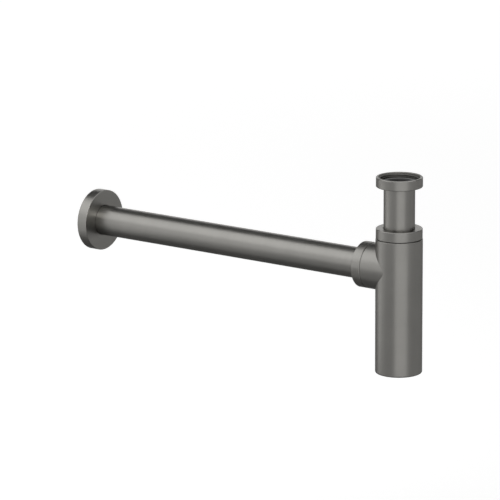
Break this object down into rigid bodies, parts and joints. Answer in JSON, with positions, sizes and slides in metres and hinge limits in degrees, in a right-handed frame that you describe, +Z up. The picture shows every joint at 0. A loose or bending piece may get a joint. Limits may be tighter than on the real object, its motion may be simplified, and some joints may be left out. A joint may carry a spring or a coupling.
{
  "type": "waste trap",
  "caption": "Gunmetal bottle trap for a wash basin, with a union nut inlet, a sliding inlet tube, a bottle with a side branch, a wall pipe and a wall flange.",
  "frame": {"origin": "on the inlet axis, at the top face of the sealing washer, where the basin waste's tail seats", "axes": "+Z up along the inlet axis, +Y along the wall pipe to the wall, +X to the right when facing the wall"},
  "size_m": [0.0646, 0.4263, 0.2043],
  "materials": {
    "gunmetal": "brass with a satin gunmetal coating, faint brushing round each turned piece",
    "grey_rubber": "matt dark grey rubber",
    "black_rubber": "matt black rubber",
    "nylon": "natural off-white moulded plastic",
    "black_nylon": "black moulded plastic, satin"
  },
  "bodies": {
    "hanger": {"inlet_tube": "gunmetal", "inlet_washer": "grey_rubber"},
    "union_nut": {"inlet_nut": "gunmetal"},
    "seal_stack": {"dip_tube": "nylon", "dip_tube_gasket": "black_rubber", "top_cone_seal": "black_rubber"},
    "bottle_body": {"bottle": "gunmetal", "outlet_cone_seal": "black_rubber"},
    "top_slip": {"top_slip_washer": "black_nylon"},
    "top_nut_body": {"top_nut": "gunmetal"},
    "outlet_slip": {"outlet_slip_washer": "black_nylon"},
    "outlet_nut_body": {"outlet_nut": "gunmetal"},
    "wall_pipe": {"outlet_pipe": "gunmetal"},
    "cover": {"wall_flange": "gunmetal", "flange_ring": "black_rubber"}
  },
  "joints": [
    {"name": "inlet_nut_spin", "type": "hinge", "parent": "hanger", "child": "union_nut", "pos_m": [0, 0, 0], "axis": [0, 0, 1], "continuous": true},
    {"name": "height_slide", "type": "slide", "parent": "hanger", "child": "seal_stack", "axis": [0, 0, 1], "range_m": [-0.03, 0.035]},
    {"name": "bottle_swivel", "type": "hinge", "parent": "seal_stack", "child": "bottle_body", "pos_m": [0, 0, -0.0588], "axis": [0, 0, 1], "continuous": true},
    {"name": "top_nut_travel", "type": "slide", "parent": "bottle_body", "child": "top_slip", "axis": [0, 0, 1], "range_m": [0, 0.006]},
    {"name": "top_nut_turn", "type": "hinge", "parent": "top_slip", "child": "top_nut_body", "pos_m": [0, 0, -0.0588], "axis": [0, 0, 1], "range_deg": [0, 1440]},
    {"name": "outlet_nut_travel", "type": "slide", "parent": "bottle_body", "child": "outlet_slip", "axis": [0, 1, 0], "range_m": [0, 0.006]},
    {"name": "outlet_nut_turn", "type": "hinge", "parent": "outlet_slip", "child": "outlet_nut_body", "pos_m": [0, 0.03265, -0.0915], "axis": [0, 1, 0], "range_deg": [0, 1440]},
    {"name": "pipe_slide", "type": "slide", "parent": "bottle_body", "child": "wall_pipe", "axis": [0, 1, 0], "range_m": [-0.004, 0.006]},
    {"name": "flange_slide", "type": "slide", "parent": "wall_pipe", "child": "cover", "axis": [0, -1, 0], "range_m": [0, 0.32]}
  ],
  "couplings": [
    {"joint": "top_nut_travel", "follows": "top_nut_turn", "m_per_rad": 0.00023873},
    {"joint": "outlet_nut_travel", "follows": "outlet_nut_turn", "m_per_rad": 0.00023873}
  ]
}
